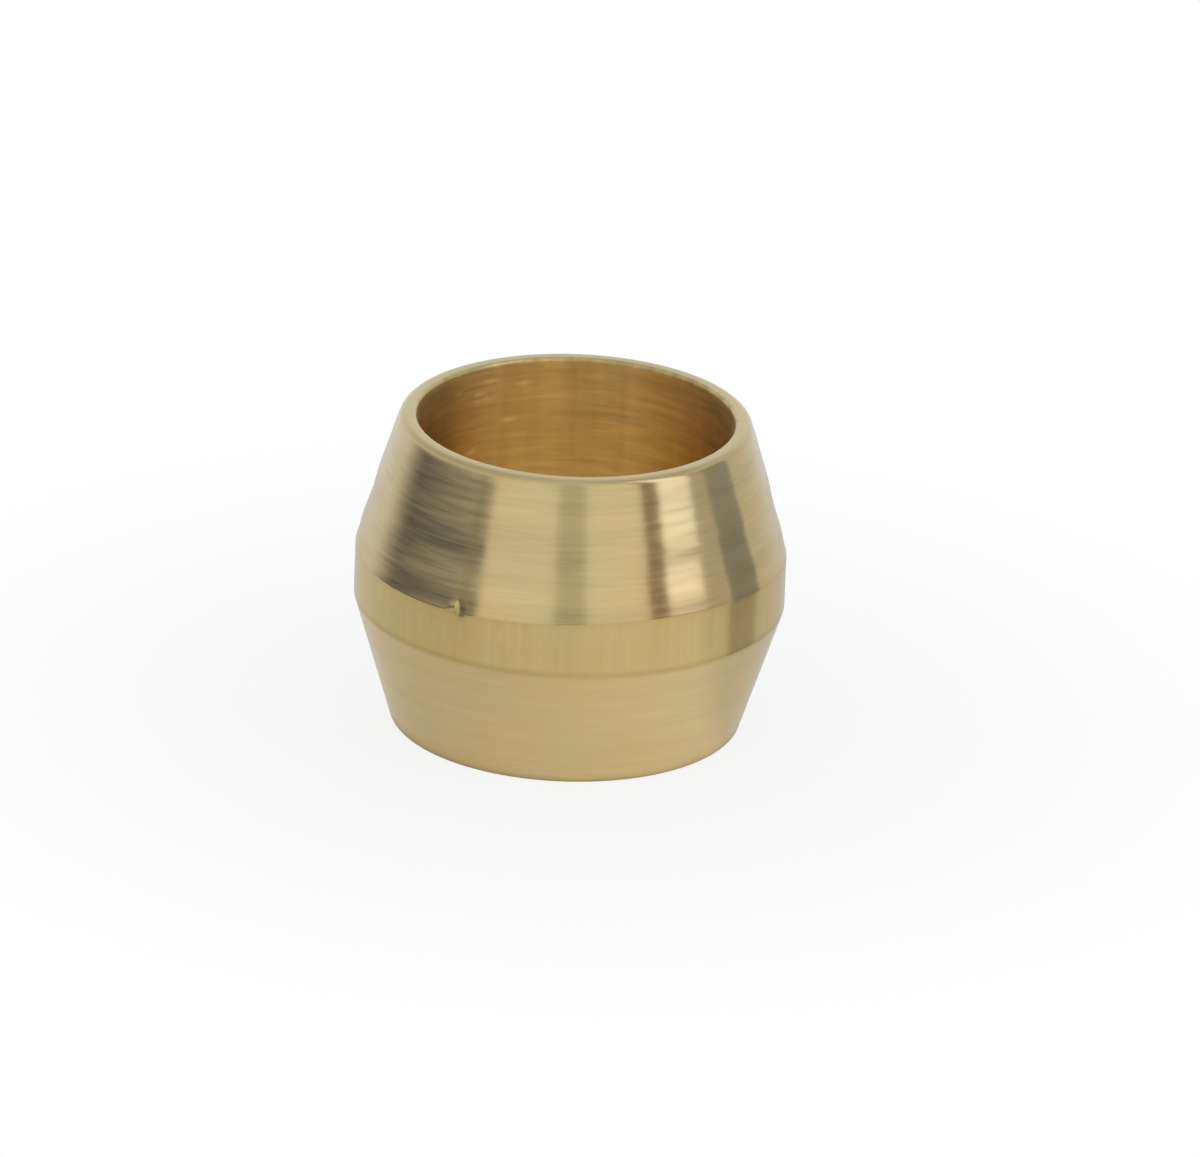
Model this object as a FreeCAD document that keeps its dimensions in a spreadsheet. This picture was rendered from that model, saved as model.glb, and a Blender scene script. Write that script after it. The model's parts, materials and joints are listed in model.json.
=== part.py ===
"""Compression olive: the brass ring that a compression nut squeezes onto a tube.

The olive is one turned piece, in millimetres. Its bore runs along +Z, and its lower end stands on z = 0.
Two cones rise from the thin ends of the ring to a cylindrical belt, and every edge is slightly rounded.
"""

import FreeCAD
import Part
import Sketcher

import os

# Driving dimensions: alias, value and meaning of each cell
SIZES = (
    ("tube_diameter", 8.0, "outside diameter of the tube that the olive grips"),
    ("bore_clearance", 0.1, "how much wider the bore is than the tube"),
    ("end_wall", 0.4, "wall between the bore and a cone's thin end"),
    ("belt_wall", 1.45, "wall between the bore and the belt"),
    ("lower_cone_length", 3.35, "height of the cone that the olive stands on"),
    ("belt_length", 1.3, "height of the cylindrical belt"),
    ("upper_cone_length", 3.6, "height of the cone above the belt"),
    ("rim_radius", 0.18, "rounding between an end face and its cone"),
    ("mouth_radius", 0.1, "rounding between an end face and the bore"),
    ("belt_edge_radius", 0.2, "rounding between the belt and a cone"),
)

SHEET = "Sizes"
NODE = "olive"
FOLDER = "parts"
FULL_TURN = 360

# How a sketch names the ends of a line, its own origin and its horizontal axis
START, END = 1, 2
ORIGIN = (-1, START)
X_AXIS = -1


def make_sheet(doc):
    """Puts the driving dimensions into a spreadsheet, one row each."""
    sheet = doc.addObject("Spreadsheet::Sheet", SHEET)
    for row, (alias, value, meaning) in enumerate(SIZES, start=1):
        sheet.set(f"A{row}", meaning)
        sheet.set(f"B{row}", str(value))
        sheet.setAlias(f"B{row}", alias)
    doc.recompute()
    return sheet


def corners(sheet):
    """Corners of the section, before they are rounded, in order round it from the bore's lower mouth."""
    bore = (sheet.tube_diameter + sheet.bore_clearance) / 2
    rim = bore + sheet.end_wall
    belt = bore + sheet.belt_wall
    belt_low = sheet.lower_cone_length
    belt_high = belt_low + sheet.belt_length
    top = belt_high + sheet.upper_cone_length
    places = ((bore, 0), (rim, 0), (belt, belt_low), (belt, belt_high), (rim, top), (bore, top))
    return [FreeCAD.Vector(radius, height, 0) for radius, height in places]


def bind(sketch, name, kind, places, expression):
    """Adds a constraint with a name, and ties its value to the sheet."""
    constraint = Sketcher.Constraint(kind, *places, sketch.evalExpression(expression))
    sketch.renameConstraint(sketch.addConstraint(constraint), name)
    sketch.setExpression(f"Constraints.{name}", expression)


def draw_sides(sketch, points):
    """Draws the section's six straight sides, joined end to end, and returns them in order."""
    sides = [sketch.addGeometry(Part.LineSegment(a, b)) for a, b in zip(points, points[1:] + points[:1])]
    for side, following in zip(sides, sides[1:] + sides[:1]):
        sketch.addConstraint(Sketcher.Constraint("Coincident", side, END, following, START))
    return sides


def set_sizes(sketch, sides):
    """Fixes the section's directions and its lengths between sharp corners."""
    end_face, lower_cone, belt, upper_cone, top_face, bore = sides
    sketch.addConstraint(Sketcher.Constraint("PointOnObject", end_face, START, X_AXIS))
    for level_side in (end_face, top_face):
        sketch.addConstraint(Sketcher.Constraint("Horizontal", level_side))
    for upright_side in (belt, bore):
        sketch.addConstraint(Sketcher.Constraint("Vertical", upright_side))

    bore_radius = f"({SHEET}.tube_diameter + {SHEET}.bore_clearance) / 2"
    for name, kind, first, second, expression in (
        ("bore_radius", "DistanceX", ORIGIN, (bore, END), bore_radius),
        ("lower_end_wall", "DistanceX", (end_face, START), (end_face, END), f"{SHEET}.end_wall"),
        ("upper_end_wall", "DistanceX", (top_face, END), (top_face, START), f"{SHEET}.end_wall"),
        ("belt_wall", "DistanceX", (bore, END), (belt, START), f"{SHEET}.belt_wall"),
        ("lower_cone", "DistanceY", (lower_cone, START), (lower_cone, END), f"{SHEET}.lower_cone_length"),
        ("belt_length", "DistanceY", (belt, START), (belt, END), f"{SHEET}.belt_length"),
        ("upper_cone", "DistanceY", (upper_cone, START), (upper_cone, END), f"{SHEET}.upper_cone_length"),
    ):
        bind(sketch, name, kind, first + second, expression)


def round_corners(sketch, sides):
    """Rounds the corner at the end of each side, and keeps the sharp corner as the point that is measured."""
    end_face, lower_cone, belt, upper_cone, top_face, bore = sides
    for name, side, radius in (
        ("lower_rim", end_face, f"{SHEET}.rim_radius"),
        ("lower_belt_edge", lower_cone, f"{SHEET}.belt_edge_radius"),
        ("upper_belt_edge", belt, f"{SHEET}.belt_edge_radius"),
        ("upper_rim", upper_cone, f"{SHEET}.rim_radius"),
        ("upper_mouth", top_face, f"{SHEET}.mouth_radius"),
        ("lower_mouth", bore, f"{SHEET}.mouth_radius"),
    ):
        arc = sketch.GeometryCount
        sketch.fillet(side, END, sketch.evalExpression(radius), True, True)
        bind(sketch, name, "Radius", (arc,), radius)


def draw_section(body, sheet):
    """Sketches one half of the ring's section in the plane through its axis."""
    sketch = body.newObject("Sketcher::SketchObject", "section")
    plane = next(f for f in body.Origin.OriginFeatures if f.Role == "XZ_Plane")
    sketch.AttachmentSupport = (plane, [""])
    sketch.MapMode = "FlatFace"
    sides = draw_sides(sketch, corners(sheet))
    set_sizes(sketch, sides)
    round_corners(sketch, sides)
    return sketch


def make_olive(doc, sheet):
    """Turns the olive: its section, revolved about the bore's axis."""
    body = doc.addObject("PartDesign::Body", NODE)
    body.Label = NODE
    section = draw_section(body, sheet)
    ring = body.newObject("PartDesign::Revolution", "turned_ring")
    ring.Profile = section
    ring.ReferenceAxis = (section, ["V_Axis"])
    ring.Angle = FULL_TURN
    doc.recompute()
    if not section.FullyConstrained:
        raise RuntimeError("the section isn't fully constrained")
    return body


def check(doc, body):
    """Stops the build if any object failed or the olive isn't one valid solid."""
    for item in doc.Objects:
        if "Invalid" in item.State or "Error" in item.State:
            raise RuntimeError(f"{item.Label} failed: {item.State}")
    if body.Shape.isNull() or not body.Shape.isValid():
        raise RuntimeError(f"{body.Label} has no valid shape")
    if len(body.Shape.Solids) != 1:
        raise RuntimeError(f"{body.Label} has {len(body.Shape.Solids)} solids")


def main():
    doc = FreeCAD.newDocument("CompressionOlive")
    sheet = make_sheet(doc)
    olive = make_olive(doc, sheet)
    check(doc, olive)
    os.makedirs(FOLDER, exist_ok=True)
    olive.Shape.exportStep(os.path.join(FOLDER, f"{olive.Label}.step"))
    box = olive.Shape.optimalBoundingBox(False, False)
    print(f"{olive.Label}: {box.XLength:.3f} x {box.YLength:.3f} x {box.ZLength:.3f} mm")
    print(f"{olive.Label}: {olive.Shape.Volume:.3f} mm3 in {len(olive.Shape.Faces)} faces")


main()
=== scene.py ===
import json
import math

import bpy
import numpy as np
from mathutils import Matrix, Vector


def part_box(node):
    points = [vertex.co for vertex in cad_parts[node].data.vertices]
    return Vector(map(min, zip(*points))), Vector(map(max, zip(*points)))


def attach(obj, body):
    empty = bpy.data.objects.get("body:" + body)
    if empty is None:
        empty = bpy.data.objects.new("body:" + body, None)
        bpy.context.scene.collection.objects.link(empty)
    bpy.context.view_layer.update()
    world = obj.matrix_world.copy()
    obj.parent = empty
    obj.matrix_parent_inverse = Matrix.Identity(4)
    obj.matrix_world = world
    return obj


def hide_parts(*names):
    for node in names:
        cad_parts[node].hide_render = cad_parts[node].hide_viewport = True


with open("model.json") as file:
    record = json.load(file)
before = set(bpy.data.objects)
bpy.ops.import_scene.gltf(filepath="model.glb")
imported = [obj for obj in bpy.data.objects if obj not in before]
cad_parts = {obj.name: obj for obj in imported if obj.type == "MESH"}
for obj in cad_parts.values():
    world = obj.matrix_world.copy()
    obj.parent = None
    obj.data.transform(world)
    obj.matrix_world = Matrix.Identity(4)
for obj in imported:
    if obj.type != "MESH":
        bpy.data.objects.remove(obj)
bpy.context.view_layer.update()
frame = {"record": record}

MM = 0.001
MICRON = 0.000001
QUARTER_TURN = 0.25
FULL_TURN_DEGREES = 360
SEED = 8

# The olive's section, where the frame's box and bore mount don't give it
END_WALL = 0.4 * MM
LOWER_CONE = 3.35 * MM
UPPER_CONE = 3.6 * MM
RIM_ROUND = 0.18 * MM
MOUTH_ROUND = 0.1 * MM
BELT_ROUND = 0.2 * MM

# Where these corners of the section stand in the list of its corners
LOWER_MOUTH = 0
LOWER_EDGE = 2
UPPER_EDGE = 3
UPPER_RIM = 4
UPPER_MOUTH = 5

# The mesh: points round the ring, more of them across the nick, and rows of points in a rounding
POINTS_ROUND = 240
NICK_POINTS = 37
NICK_SPAN = math.radians(3.5)
ROUNDING_ROWS = 8

# What the points of the mesh have a share of: the finishes of the section's sides, and places on the ring
FINISHES = ("marks", "skin", "bore")
PLACES = ("bore_reflection", "edge", "burr_glints", "scratch_glint", "dent_shade")

# Sides of the section in order: the distance between rows of points, and each side's share of the turning
# marks, of the drawn bar's skin and of the bore's film
SIDES = (
    ("end_face", 0.05 * MM, 0.2, 0, 0),
    ("lower_cone", 0.06 * MM, 0.4, 0, 0),
    ("belt", 0.1 * MM, 0, 1, 0),
    ("upper_cone", 0.045 * MM, 1.0, 0, 0),
    ("top_face", 0.05 * MM, 0.2, 0, 0),
    ("bore", 0.06 * MM, 0.5, 0, 1),
)

# Turning marks: how many waves they are made of, their coarsest and finest pitch, the slope of each, the most
# turns of its phase round the ring, and how far from the belt's edges they fade
MARK_WAVES = 28
COARSE_PITCH = 0.7 * MM
FINE_PITCH = 0.18 * MM
MARK_SLOPE = 0.0042
MARK_TWIST = 14
MARK_FADE = 0.12 * MM

# Bands round the upper cone that face lower, or higher where the slope is negative: height, half width and
# slope. What a band rises by, it partly falls again, over a stretch that is wider than the band
BANDS = (
    (8.15 * MM, 0.2 * MM, -0.07),
    (6.28 * MM, 0.34 * MM, 0.08),
    (5.0 * MM, 0.22 * MM, 0.1),
)
BAND_FALL = 0.75
BAND_SPREAD = 2

# A nick at the belt's upper edge, to the left of the front: how far it pushes the edge up, its width on its
# left and on its right, and how far up it reaches. Beside it the metal is torn: how far aside, how wide and
# how far down
NICK_TURN = math.radians(-31.7)
NICK_RISE = 0.21 * MM
NICK_WIDTHS = (0.16 * MM, 0.07 * MM)
NICK_REACH = 0.2 * MM
TORN_ASIDE = 0.18 * MM
TORN_WIDTH = 0.15 * MM
TORN_DROP = 0.07 * MM

# The belt's upper edge runs higher on one side: by how much, where, and how far round the ring
HIGH_EDGE = 0.18 * MM
HIGH_TURN = math.radians(28)
HIGH_REACH = math.radians(42)

# Scratches in the bore, painted bright as glints of the window's reflection: azimuth of each one's middle
# from the front, its depth below the rim and its reach
BORE_SCRATCH_GLINTS = (
    (math.radians(-146), 0.45 * MM, math.radians(3.5)),
    (math.radians(-141.5), 0.75 * MM, math.radians(2)),
    (math.radians(-143.5), 0.95 * MM, math.radians(5)),
    (math.radians(-131.5), 0.57 * MM, math.radians(1.5)),
    (math.radians(-154), 1.6 * MM, math.radians(3)),
    (math.radians(-139), 2.3 * MM, math.radians(2)),
    (math.radians(-160), 0.65 * MM, math.radians(2.5)),
)
SCRATCH_GLINT_WIDTH = 0.06 * MM

# Where the bore is painted brighter, at the back on the left, as a painted reflection of the window: azimuth
# of the middle and reach
REFLECTION_TURN = math.radians(-139)
REFLECTION_REACH = math.radians(10)

# How far the darker tone along the belt's edges reaches, the upper edge's share of it, and how far the burr
# of the bore's mouths, with its painted glints, reaches
EDGE_REACH = 0.08 * MM
UPPER_EDGE_DARKENING = 0.35
BURR_GLINT_REACH = 0.1 * MM

# The camera, from the fit of the photograph: its frame, the scale at the olive, the viewing angle and the aim
PHOTO_WIDTH = 1200
PIXELS_PER_METRE = 39200
FOCAL_PIXELS = 20000
ELEVATION = math.radians(22.08)
ROLL = math.radians(2.28)
AIM_HEIGHT = 4.435 * MM
AIM_RIGHT_PIXELS = 30.22
AIM_DOWN_PIXELS = 21.88
SENSOR_WIDTH_MM = 36

# Brass, and what tints it: stains, the belt's drawn skin, the bore's film, a painted reflection of the window
# in the bore, a darker tone along the belt's edges, the scratches painted bright as glints and the painted
# shade in the dent beside the nick
BRASS = (0.7, 0.54, 0.266)
TINTS = (
    ("stain", (1.0, 0.965, 0.91)),
    ("skin", (0.95, 0.94, 0.84)),
    ("bore", (0.94, 0.86, 0.7)),
    ("bore_reflection", (1.15, 1.2, 1.3)),
    ("edge", (0.86, 0.83, 0.74)),
    ("scratch_glint", (1.3, 1.45, 1.55)),
    ("dent_shade", (0.63, 0.65, 0.61)),
)

# Where the stains' noise starts to stain the brass, and where it stains it fully
STAIN_EDGES = (0.35, 0.68)

# Noises in the brass: how fast each changes round a turn and per millimetre of the section, and its detail
NOISES = {
    "fine": (3.0, 11.0, 3.0),
    "broad": (1.0, 2.0, 2.0),
    "stain": (2.5, 0.5, 2.0),
    "die_lines": (36.0, 0.3, 3.0),
    "dots": (16.0, 2.0, 3.0),
    "bore_lines": (2.5, 4.5, 3.0),
    "bore_columns": (8.0, 0.15, 2.0),
}

# How much a noise changes the brass's brightness, and the finish or place that it belongs to
SWINGS = (
    ("fine", "all", 0.06),
    ("broad", "all", 0.06),
    ("stain", "all", 0.1),
    ("fine", "marks", 0.2),
    ("broad", "marks", 0.2),
    ("die_lines", "skin", 0.16),
    # Painted glints as dots along the burr of the bore's mouths
    ("dots", "burr_glints", 1.0),
    ("bore_lines", "bore", 0.5),
    ("bore_columns", "bore", 0.35),
    ("fine", "bore", 0.25),
)

# The surface: its roughness, what the fine noise and the bore add, how much more it smears up and down than
# round the ring, and the depth and strength of its finest lines
ROUGHNESS = 0.14
FINE_ROUGHNESS = 0.14
BORE_ROUGHNESS = 0.2
SMEAR = 0.83
LINE_DEPTH = 2 * MICRON
LINE_STRENGTH = 0.8

# The studio: a round white floor in a white tent. To the camera the floor glows fully beyond the olive's
# shadow and less within it, and to the brass it glows in part
FLOOR_POINTS = 128
FLOOR_RADIUS = 26 * MM
FLOOR_COLOUR = (0.9, 0.9, 0.9, 1)
FLOOR_SHADOW = (6 * MM, 24 * MM)
CAMERA_GLOW = 0.85
MIRROR_GLOW = 0.6
WHITE = (1, 1, 1, 1)

# The floor that the brass mirrors, by distance from the axis, is painted light and shade: inside the bore a
# warm painted glow, dim at its centre with painted shade; outside, a painted shadow where the olive stands.
# The pairs are the distances over which a level changes
INSIDE_COLOUR = (1.0, 0.88, 0.64)
CENTRE_GLOW = 0.7
CENTRE = (1.4 * MM, 2.6 * MM)
INSIDE_GLOW = 2.25
INSIDE = (3.5 * MM, 4.05 * MM)
CONTACT_GLOW = 0.5
CONTACT = (4.4 * MM, 4.7 * MM)

# How bright the mirrored floor, in painted light and shade, and the tent's cloth are by azimuth, in degrees
# from the camera to its right
FLOOR_LEVELS = (
    (-180, (0.68, 0.68, 0.68, 1)),
    (-110, (0.81, 0.81, 0.81, 1)),
    (-62, (0.73, 0.73, 0.73, 1)),
    (-35, (0.77, 0.77, 0.77, 1)),
    (0, (0.9, 0.9, 0.9, 1)),
    (40, (1.0, 1.0, 1.0, 1)),
    (58, (0.99, 0.99, 0.99, 1)),
    (75, (0.76, 0.76, 0.76, 1)),
    (120, (0.7, 0.7, 0.7, 1)),
    (180, (0.68, 0.68, 0.68, 1)),
)
TENT_LEVELS = (
    (-180, (0.84, 0.9, 1.0, 1)),
    (-130, (0.74, 0.79, 0.9, 1)),
    (-45, (0.84, 0.86, 0.88, 1)),
    (40, (0.82, 0.84, 0.86, 1)),
    (97, (0.63, 0.65, 0.66, 1)),
    (125, (0.61, 0.645, 0.68, 1)),
    (160, (0.78, 0.84, 0.95, 1)),
    (180, (0.84, 0.9, 1.0, 1)),
)

# The tent dims towards its top, between two heights, and is brighter above on the side of a lamp
TENT_TOP = 0.76
TENT_TOP_STARTS = (math.radians(12), math.radians(60))
LAMP_AZIMUTH = math.radians(60)
LAMP_SHARE = 0.25
LAMP_HEIGHTS = (math.radians(10), math.radians(35))

# What the olive mirrors beside the tent's cloth: azimuths and heights in degrees at which each strip starts,
# is full, fades and ends, and its colour. Strips that start below every direction reach all the way down
ALL_BELOW = (-91, -90)
STRIPS = (
    ("left opening", (-132, -104, -51.5, -47.5), (*ALL_BELOW, -4, 24), (0.074, 0.0875, 0.131, 1)),
    ("left post", (-62, -59, -55.5, -52.5), (*ALL_BELOW, 8, 20), (0.25, 0.24, 0.22, 1)),
    ("camera", (-11, -6, 5.5, 10), (*ALL_BELOW, 40, 60), (0.615, 0.63, 0.6, 1)),
    ("camera foot", (-11, -6, 5.5, 10), (*ALL_BELOW, -2, 10), (0.43, 0.445, 0.425, 1)),
    ("window frame", (42, 45, 53.5, 56.5), (*ALL_BELOW, 40, 60), (0.3, 0.255, 0.235, 1)),
    ("window sill", (53, 56, 76, 79.5), (*ALL_BELOW, 40, 60), (0.5, 0.48, 0.5, 1)),
    ("window", (53, 56, 76, 79.5), (0, 4, 55, 75), (1.28, 1.36, 1.63, 1)),
    ("curtain", (76, 79.5, 91.5, 94.5), (*ALL_BELOW, 40, 60), (0.52, 0.52, 0.54, 1)),
)

# A dark card that stands to the right of the olive, shows only in the brass and is paler at its foot and head
CARD_X = 10 * MM
CARD_Y = (-3.1 * MM, 0.2 * MM)
CARD_TOP = 12 * MM
CARD_COLOUR = (0.258, 0.288, 0.335, 1)
CARD_TOP_COLOUR = (0.32, 0.355, 0.42, 1)
CARD_FOOT_COLOUR = (0.44, 0.41, 0.41, 1)
CARD_FOOT = (2.2 * MM, 4.2 * MM)
CARD_HEAD = (5 * MM, 8 * MM)

# The mix node's sockets for colours
MIX_FIRST = 6
MIX_SECOND = 7
MIX_RESULT = 2


def node(tree, kind, inputs=(), **settings):
    """Adds a node with its settings and inputs: a socket is linked, and a value is set."""
    made = tree.nodes.new(kind)
    for name, value in settings.items():
        setattr(made, name, value)
    for key, value in dict(inputs).items():
        if isinstance(value, bpy.types.NodeSocket):
            tree.links.new(value, made.inputs[key])
        else:
            made.inputs[key].default_value = value
    return made


def maths(tree, operation, *values):
    """The result of an operation on numbers."""
    return node(tree, "ShaderNodeMath", dict(enumerate(values)), operation=operation).outputs[0]


def vector_maths(tree, operation, *values, output="Vector"):
    """The result of an operation on vectors."""
    inputs = dict(enumerate(values))
    return node(tree, "ShaderNodeVectorMath", inputs, operation=operation).outputs[output]


def scaled(tree, vector, factor):
    """A vector or colour times a number."""
    return node(tree, "ShaderNodeVectorMath", {0: vector, "Scale": factor}, operation="SCALE").outputs[0]


def rise(tree, value, low, high, bottom=0.0, top=1.0):
    """Goes smoothly from bottom, where value is low, to top, where it is high."""
    inputs = {"Value": value, "From Min": low, "From Max": high, "To Min": bottom, "To Max": top}
    return node(tree, "ShaderNodeMapRange", inputs, interpolation_type="SMOOTHSTEP").outputs["Result"]


def mix(tree, factor, first, second):
    """The first colour where factor is 0, and the second where it is 1."""
    inputs = {"Factor": factor, MIX_FIRST: first, MIX_SECOND: second}
    return node(tree, "ShaderNodeMix", inputs, data_type="RGBA").outputs[MIX_RESULT]


def azimuth_of(tree, direction):
    """Azimuth of a direction, from the camera's side towards its right."""
    x, y, _ = node(tree, "ShaderNodeSeparateXYZ", {0: direction}).outputs
    return maths(tree, "ARCTAN2", x, maths(tree, "MULTIPLY", y, -1.0))


def by_azimuth(tree, azimuth, stops):
    """The colour at an azimuth, between the stops beside it; the first stop is straight behind."""
    turn = maths(tree, "MULTIPLY_ADD", azimuth, 1 / (2 * math.pi), 0.5)
    made = node(tree, "ShaderNodeValToRGB", {"Fac": turn})
    elements = made.color_ramp.elements
    elements.remove(elements[1])
    elements[0].color = stops[0][1]
    for place, colour in stops[1:]:
        elements.new(place / FULL_TURN_DEGREES + 0.5).color = colour
    return made.outputs["Color"]


def between(tree, value, edges):
    """Rises from 0 to 1 between the first two edges, in degrees, and falls between the last two."""
    start, full, fade, end = (math.radians(edge) for edge in edges)
    return maths(tree, "MULTIPLY", rise(tree, value, start, full), rise(tree, value, fade, end, 1.0, 0.0))


# The section of the ring


def section_corners():
    """Sharp corners of the section as (radius, height), from the bore's lower mouth round to its upper."""
    low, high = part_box("olive")
    mount = next(m for m in frame["record"]["mounts"] if m["name"] == "tube_bore")
    bore = mount["dims"]["r_mm"] * MM
    belt = (high.x - low.x) / 2
    rim = bore + END_WALL
    return np.array([
        (bore, low.z),
        (rim, low.z),
        (belt, low.z + LOWER_CONE),
        (belt, high.z - UPPER_CONE),
        (rim, high.z),
        (bore, high.z),
    ])


def section_rows():
    """Rows of points round the section: their place, outward normal and finishes."""
    corners = section_corners()
    rounds = np.array([MOUTH_ROUND, RIM_ROUND, BELT_ROUND, BELT_ROUND, RIM_ROUND, MOUTH_ROUND])
    runs = np.roll(corners, -1, axis=0) - corners
    lengths = np.linalg.norm(runs, axis=1)
    ahead = runs / lengths[:, None]
    outward = np.stack([ahead[:, 1], -ahead[:, 0]], axis=1)
    bends = np.arccos((np.roll(ahead, 1, axis=0) * ahead).sum(axis=1))
    setbacks = rounds * np.tan(bends / 2)

    rows = []
    for i, (_, step, *finish) in enumerate(SIDES):
        after = (i + 1) % len(SIDES)
        start = corners[i] + ahead[i] * setbacks[i]
        end = corners[after] - ahead[i] * setbacks[after]
        count = max(2, round(np.linalg.norm(end - start) / step))
        for share in np.linspace(0, 1, count, endpoint=False):
            rows.append((*(start + (end - start) * share), *outward[i], *finish))

        centre = end - outward[i] * rounds[after]
        next_finish = np.array(SIDES[after][2:])
        for share in np.linspace(0, 1, ROUNDING_ROWS, endpoint=False):
            angle = bends[after] * share
            normal = outward[i] * math.cos(angle) + ahead[i] * math.sin(angle)
            blended = finish + (next_finish - finish) * share
            rows.append((*(centre + normal * rounds[after]), *normal, *blended))
    return np.split(np.array(rows), [2, 4], axis=1)


# The ring's surface


def bell(offset, width):
    """A bell curve, which is 1 at an offset of 0."""
    return np.exp(-((offset / width) ** 2))


def near(places, corners, reach):
    """How close each row is to one of these corners of the section, from 0 to 1 at the corner."""
    distance = np.linalg.norm(places[:, None] - corners, axis=2).min(axis=1)
    return bell(distance, reach)[:, None]


def swelling(z, middle, width, slope):
    """How far one band has risen at a height: it is steepest at its middle, and falls again on both sides."""
    away = (z - middle) / width
    risen = np.tanh(away) - BAND_FALL * np.tanh(away / BAND_SPREAD)
    return slope * width * risen / (1 - BAND_FALL / BAND_SPREAD)


def cone_bands(level, low, high):
    """How far the upper cone's bands stand out from the straight line between the cone's two ends."""
    level = level.clip(low, high)
    swell, at_low, at_high = (sum(swelling(z, *values) for values in BANDS) for z in (level, low, high))
    return swell - at_low - (at_high - at_low) * (level - low) / (high - low)


def turning_marks(track, turn):
    """Height of the tool's marks, as waves along the section whose phase slowly turns round the ring."""
    rng = np.random.default_rng(SEED)
    height = np.zeros((len(track), len(turn)))
    for pitch in np.geomspace(COARSE_PITCH, FINE_PITCH, MARK_WAVES):
        phase = rng.uniform(0, 2 * math.pi)
        twist = rng.integers(-MARK_TWIST, MARK_TWIST, endpoint=True)
        wave = np.cos(2 * math.pi * track[:, None] / pitch + twist * turn + phase)
        height += MARK_SLOPE * pitch / (2 * math.pi) * wave
    return height


def nick(places, turn):
    """What the nick adds to the radius: the cone moves out or in, and with it its edge on the belt."""
    edge, rim = section_corners()[[UPPER_EDGE, UPPER_RIM]]
    lean = (edge[0] - rim[0]) / (rim[1] - edge[1])
    above = places[:, 1, None] - edge[1]
    across = (turn - NICK_TURN) * edge[0]
    width = np.where(across < 0, *NICK_WIDTHS)
    shift = NICK_RISE * bell(across, width)
    shift -= TORN_DROP * bell(across - TORN_ASIDE, TORN_WIDTH)
    cone = edge[0] - lean * above
    nicked = cone + lean * shift * bell(above, NICK_REACH)
    outside = places[:, 0, None] > rim[0]
    return (nicked.clip(max=edge[0]) - cone.clip(max=edge[0])) * outside


def dent_shade(places, turn):
    """How much of each point lies in the painted shade of the dent beside the nick."""
    edge, rim = section_corners()[[UPPER_EDGE, UPPER_RIM]]
    across = (turn - NICK_TURN) * edge[0] - TORN_ASIDE
    above = places[:, 1, None] - edge[1] - NICK_RISE / 2
    outside = places[:, 0, None] > rim[0]
    return bell(across, TORN_WIDTH) * bell(above, NICK_REACH) * outside


def levels(places, track, raised):
    """Heights of the points when the belt's upper edge is raised and its lower edge and the rim stay."""
    corners = section_corners()[[LOWER_EDGE, UPPER_EDGE, UPPER_RIM]]
    ends = [np.linalg.norm(places - corner, axis=1).argmin() for corner in corners]
    share = np.interp(track, track[ends], (0, 1, 0))
    return places[:, 1, None] + share[:, None] * raised


def scratch_glints(places, turn):
    """How much of each point lies on one of the bore's scratches, which are painted bright as glints."""
    below_rim = section_corners()[UPPER_MOUTH, 1] - places[:, 1, None]
    return sum(
        bell(turn - middle, reach) * bell(below_rim - depth, SCRATCH_GLINT_WIDTH)
        for middle, depth, reach in BORE_SCRATCH_GLINTS
    )


def surface_shares(places, turn, finishes):
    """How much of each finish and place the points have, by row, or by row and turn."""
    corners = section_corners()
    shares = dict(zip(FINISHES, finishes.T[:, :, None]))
    below = near(places, corners[[LOWER_EDGE]], EDGE_REACH)
    above = near(places, corners[[UPPER_EDGE]], EDGE_REACH)
    # Painted reflection of the window on the bore, at the back on the left
    shares["bore_reflection"] = shares["bore"] * bell(turn - REFLECTION_TURN, REFLECTION_REACH)
    shares["edge"] = below + above * UPPER_EDGE_DARKENING
    # Painted glints along the burr of the bore's mouths
    shares["burr_glints"] = near(places, corners[[LOWER_MOUTH, UPPER_MOUTH]], BURR_GLINT_REACH)
    # Scratches in the bore, painted bright as glints
    shares["scratch_glint"] = scratch_glints(places, turn) * shares["bore"]
    # Painted shade in the dent beside the nick
    shares["dent_shade"] = dent_shade(places, turn)
    return shares


def ring_points(places, normals, track, turn, marks):
    """The section's points turned round the ring, with the raised edge, the turning marks, bands and nick."""
    corners = section_corners()
    raised = HIGH_EDGE * bell(turn - HIGH_TURN, HIGH_REACH)
    level = levels(places, track, raised)
    faded = 1 - near(places, corners[[LOWER_EDGE, UPPER_EDGE]], MARK_FADE)
    lift = turning_marks(track, turn) * marks * faded
    lift += cone_bands(level, corners[UPPER_EDGE, 1] + raised, corners[UPPER_RIM, 1]) * marks
    radius = places[:, 0, None] + normals[:, 0, None] * lift + nick(places, turn)
    height = level + normals[:, 1, None] * lift
    return np.stack([radius * np.sin(turn), -radius * np.cos(turn), height], axis=2)


def ring_faces(rows, columns):
    """Faces between neighbouring rows and columns of points, closed round the section and round the ring."""
    row, column = np.meshgrid(np.arange(rows), np.arange(columns), indexing="ij")
    next_row, next_column = (row + 1) % rows, (column + 1) % columns
    around = ((row, column), (row, next_column), (next_row, next_column), (next_row, column))
    return np.stack([r * columns + c for r, c in around], axis=2).reshape(-1, 4)


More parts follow.
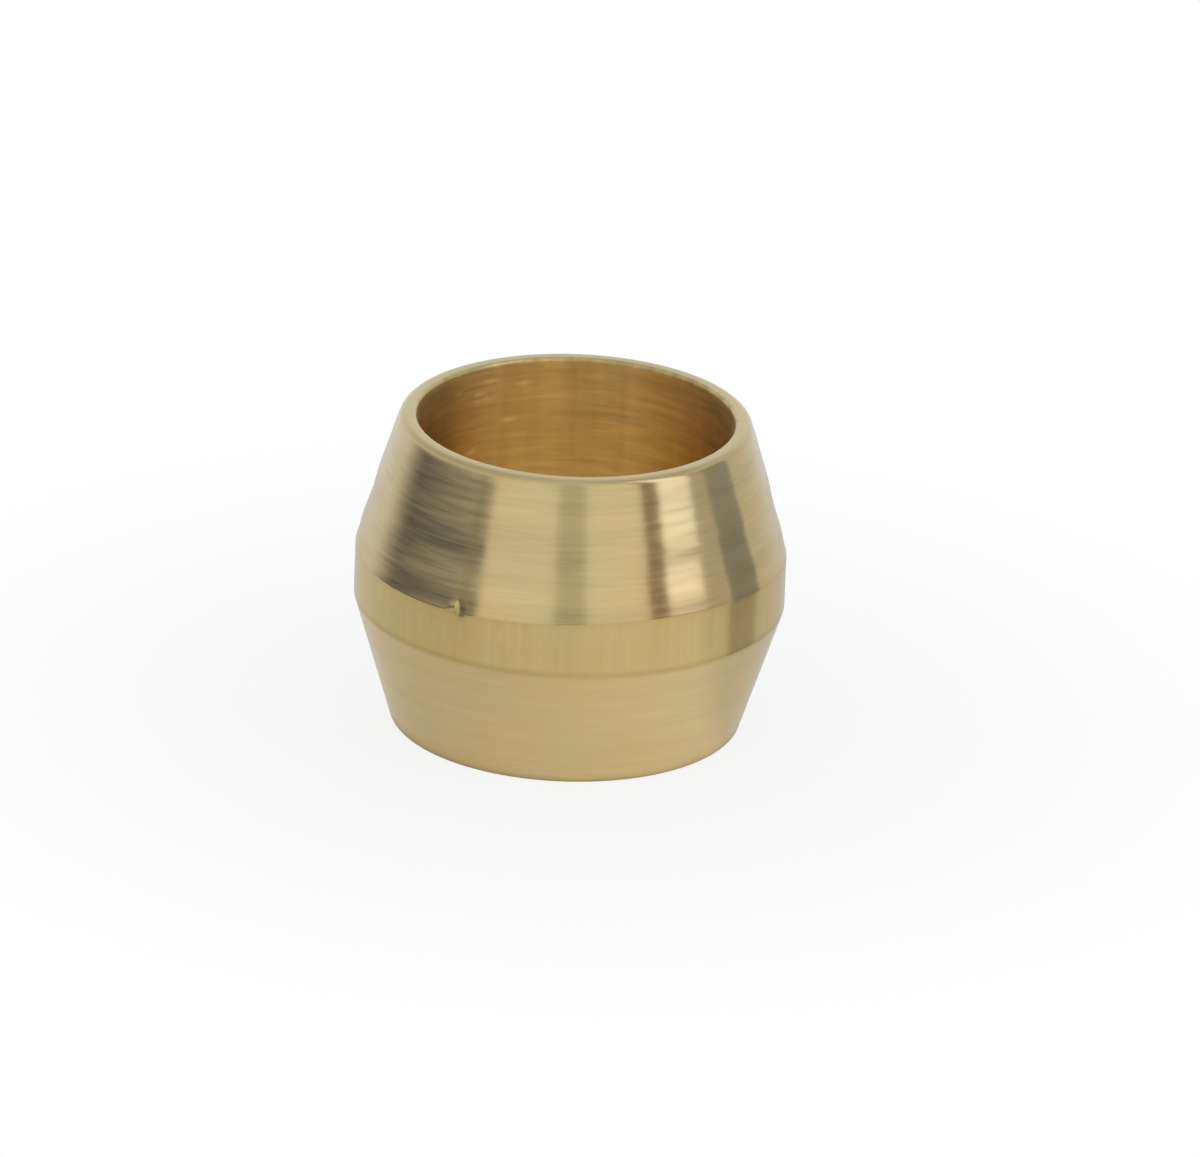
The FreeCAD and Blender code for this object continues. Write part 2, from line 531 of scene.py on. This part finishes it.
def make_olive():
    """The ring as one closed mesh, with the marks of its turning in its surface."""
    places, normals, finishes = section_rows()
    steps = np.linalg.norm(np.diff(places, axis=0), axis=1)
    track = np.concatenate([[0], np.cumsum(steps)])
    even = np.linspace(-math.pi, math.pi, POINTS_ROUND, endpoint=False)
    turn = np.union1d(even, NICK_TURN + np.linspace(-NICK_SPAN, NICK_SPAN, NICK_POINTS))
    rows, columns = len(places), len(turn)
    shares = surface_shares(places, turn, finishes)
    points = ring_points(places, normals, track, turn, shares["marks"])

    mesh = bpy.data.meshes.new("olive_turned")
    mesh.from_pydata(points.reshape(-1, 3), [], ring_faces(rows, columns))
    mesh.shade_smooth()
    lathe = np.stack(np.broadcast_arrays(np.sin(turn), np.cos(turn), track[:, None] / MM), axis=2)
    mesh.attributes.new("lathe", "FLOAT_VECTOR", "POINT").data.foreach_set("vector", lathe.ravel())
    for name, values in shares.items():
        values = np.broadcast_to(values, (rows, columns))
        mesh.attributes.new(name, "FLOAT", "POINT").data.foreach_set("value", values.ravel())
    olive = bpy.data.objects.new("olive_turned", mesh)
    bpy.context.collection.objects.link(olive)
    return olive


# The brass


def streaks(tree, lathe, around, along, detail):
    """Noise stretched on the ring: how fast it changes round a turn, and per millimetre of the section."""
    stretched = vector_maths(tree, "MULTIPLY", lathe, (around, around, along))
    inputs = {"Vector": stretched, "Scale": 1.0, "Detail": detail}
    return node(tree, "ShaderNodeTexNoise", inputs).outputs["Fac"]


def tinted(tree, colour, tint, share):
    """The colour, multiplied by a tint where share is 1."""
    return mix(tree, share, colour, vector_maths(tree, "MULTIPLY", colour, tint))


def make_brass():
    """Satin brass, with its noises, tints and smear laid along the turning."""
    material = bpy.data.materials.new("brass")
    material.use_nodes = True
    tree = material.node_tree
    shader = tree.nodes["Principled BSDF"]
    lathe = node(tree, "ShaderNodeAttribute", attribute_name="lathe").outputs["Vector"]
    noises = {name: streaks(tree, lathe, *settings) for name, settings in NOISES.items()}
    shares = {
        name: node(tree, "ShaderNodeAttribute", attribute_name=name).outputs["Fac"]
        for name in (*FINISHES, *PLACES)
    }
    shares["all"] = 1.0
    shares["stain"] = rise(tree, noises["stain"], *STAIN_EDGES)

    level = 1.0
    for noise, share, strength in SWINGS:
        swing = maths(tree, "MULTIPLY_ADD", noises[noise], strength, -strength / 2)
        level = maths(tree, "MULTIPLY_ADD", swing, shares[share], level)
    colour = scaled(tree, BRASS, level)
    for share, tint in TINTS:
        colour = tinted(tree, colour, tint, shares[share])

    rough = maths(tree, "MULTIPLY_ADD", noises["fine"], FINE_ROUGHNESS, ROUGHNESS)
    rough = maths(tree, "MULTIPLY_ADD", shares["bore"], BORE_ROUGHNESS, rough)
    strength = maths(tree, "MULTIPLY", shares["marks"], LINE_STRENGTH)
    inputs = {"Strength": strength, "Distance": LINE_DEPTH, "Height": noises["fine"]}
    lines = node(tree, "ShaderNodeBump", inputs)
    tangent = node(tree, "ShaderNodeTangent", direction_type="RADIAL", axis="Z")

    tree.links.new(colour, shader.inputs["Base Color"])
    tree.links.new(rough, shader.inputs["Roughness"])
    tree.links.new(lines.outputs["Normal"], shader.inputs["Normal"])
    tree.links.new(tangent.outputs["Tangent"], shader.inputs["Tangent"])
    shader.inputs["Metallic"].default_value = 1.0
    shader.inputs["Anisotropic"].default_value = SMEAR
    shader.inputs["Anisotropic Rotation"].default_value = QUARTER_TURN
    return material


# The studio


def new_tree(owner):
    """The empty node tree of a material or world."""
    owner.use_nodes = True
    owner.node_tree.nodes.clear()
    return owner.node_tree


def emission(tree, colour):
    """A shader that glows in a colour."""
    return node(tree, "ShaderNodeEmission", {"Color": colour, "Strength": 1.0}).outputs[0]


def make_floor():
    """A white floor. It glows where it is seen, so that it is white and still keeps a faint shadow, and in
    the brass it shows painted light and shade.
    """
    bpy.ops.mesh.primitive_circle_add(vertices=FLOOR_POINTS, radius=FLOOR_RADIUS, fill_type="NGON")
    floor = bpy.context.object
    floor.name = "floor"
    material = bpy.data.materials.new("floor")
    tree = new_tree(material)
    path = node(tree, "ShaderNodeLightPath").outputs
    place = node(tree, "ShaderNodeTexCoord").outputs["Object"]
    distance = vector_maths(tree, "LENGTH", place, output="Value")
    shadow = rise(tree, distance, *FLOOR_SHADOW, CAMERA_GLOW, 1.0)
    seen = maths(tree, "MULTIPLY", path["Is Camera Ray"], shadow)
    share = maths(tree, "MULTIPLY_ADD", path["Is Glossy Ray"], MIRROR_GLOW, seen)

    # Painted light and shade on the floor that the brass mirrors: a warm glow inside the bore, dim at its
    # centre, a painted shadow where the olive stands, and levels by azimuth
    inside = rise(tree, distance, *CENTRE, CENTRE_GLOW, INSIDE_GLOW)
    outside = rise(tree, distance, *CONTACT, CONTACT_GLOW, 1.0)
    around = by_azimuth(tree, azimuth_of(tree, place), FLOOR_LEVELS)
    within = scaled(tree, INSIDE_COLOUR, inside)
    beyond = scaled(tree, around, outside)
    level = mix(tree, rise(tree, distance, *INSIDE), within, beyond)
    level = mix(tree, path["Is Camera Ray"], level, WHITE)

    cloth = node(tree, "ShaderNodeBsdfDiffuse", {"Color": FLOOR_COLOUR}).outputs[0]
    mixed = node(tree, "ShaderNodeMixShader", {0: share, 1: cloth, 2: emission(tree, level)}).outputs[0]
    node(tree, "ShaderNodeOutputMaterial", {"Surface": mixed})
    floor.data.materials.append(material)
    return floor


def make_card():
    """A dark upright card beside the olive, hidden from the camera and from the light."""
    y_near, y_far = CARD_Y
    corners = [
        (CARD_X, y_near, 0),
        (CARD_X, y_far, 0),
        (CARD_X, y_far, CARD_TOP),
        (CARD_X, y_near, CARD_TOP),
    ]
    mesh = bpy.data.meshes.new("card")
    mesh.from_pydata(corners, [], [(0, 1, 2, 3)])
    card = bpy.data.objects.new("card", mesh)
    bpy.context.collection.objects.link(card)
    card.visible_camera = False
    card.visible_diffuse = False
    card.visible_shadow = False
    material = bpy.data.materials.new("card")
    tree = new_tree(material)
    place = node(tree, "ShaderNodeTexCoord").outputs["Object"]
    height = node(tree, "ShaderNodeSeparateXYZ", {0: place}).outputs["Z"]
    colour = mix(tree, rise(tree, height, *CARD_FOOT), CARD_FOOT_COLOUR, CARD_COLOUR)
    colour = mix(tree, rise(tree, height, *CARD_HEAD), colour, CARD_TOP_COLOUR)
    node(tree, "ShaderNodeOutputMaterial", {"Surface": emission(tree, colour)})
    mesh.materials.append(material)
    return card


def make_world():
    """A white tent: plain white behind the olive, and with strips of other things in its reflections."""
    world = bpy.data.worlds.new("tent")
    bpy.context.scene.world = world
    tree = new_tree(world)
    direction = node(tree, "ShaderNodeTexCoord").outputs["Generated"]
    azimuth = azimuth_of(tree, direction)
    height = maths(tree, "ARCSINE", node(tree, "ShaderNodeSeparateXYZ", {0: direction}).outputs["Z"])

    lamp = (math.sin(LAMP_AZIMUTH), -math.cos(LAMP_AZIMUTH), 0)
    towards = vector_maths(tree, "DOT_PRODUCT", direction, lamp, output="Value")
    share = rise(tree, height, *LAMP_HEIGHTS, 0.0, LAMP_SHARE)
    level = maths(tree, "MULTIPLY_ADD", towards, share, 1.0)
    level = maths(tree, "MULTIPLY", level, rise(tree, height, *TENT_TOP_STARTS, 1.0, TENT_TOP))
    colour = scaled(tree, by_azimuth(tree, azimuth, TENT_LEVELS), level)
    for _, azimuths, heights, strip in STRIPS:
        inside = maths(tree, "MULTIPLY", between(tree, azimuth, azimuths), between(tree, height, heights))
        colour = mix(tree, inside, colour, strip)

    camera = node(tree, "ShaderNodeLightPath").outputs["Is Camera Ray"]
    colour = mix(tree, camera, colour, WHITE)
    light = node(tree, "ShaderNodeBackground", {"Color": colour, "Strength": 1.0}).outputs[0]
    node(tree, "ShaderNodeOutputWorld", {"Surface": light})


def make_camera():
    """The camera of the photograph: a long lens above the front, rolled a little."""
    right = Vector((1, 0, 0))
    up = Vector((0, math.sin(ELEVATION), math.cos(ELEVATION)))
    forward = Vector((0, math.cos(ELEVATION), -math.sin(ELEVATION)))
    aim = Vector((0, 0, AIM_HEIGHT))
    offset = right * AIM_RIGHT_PIXELS - up * AIM_DOWN_PIXELS - forward * FOCAL_PIXELS
    camera_right = right * math.cos(ROLL) + up * math.sin(ROLL)
    camera_up = up * math.cos(ROLL) - right * math.sin(ROLL)

    camera = bpy.data.objects.new("camera", bpy.data.cameras.new("camera"))
    bpy.context.collection.objects.link(camera)
    camera.data.sensor_width = SENSOR_WIDTH_MM
    camera.data.lens = FOCAL_PIXELS / PHOTO_WIDTH * SENSOR_WIDTH_MM
    turned = Matrix((camera_right, camera_up, -forward)).transposed().to_4x4()
    camera.matrix_world = Matrix.Translation(aim + offset / PIXELS_PER_METRE) @ turned
    bpy.context.scene.camera = camera


olive = make_olive()
olive.data.materials.append(make_brass())
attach(olive, "root")
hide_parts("olive")
make_floor()
make_card()
make_world()
make_camera()
bpy.context.scene.view_settings.view_transform = "Standard"
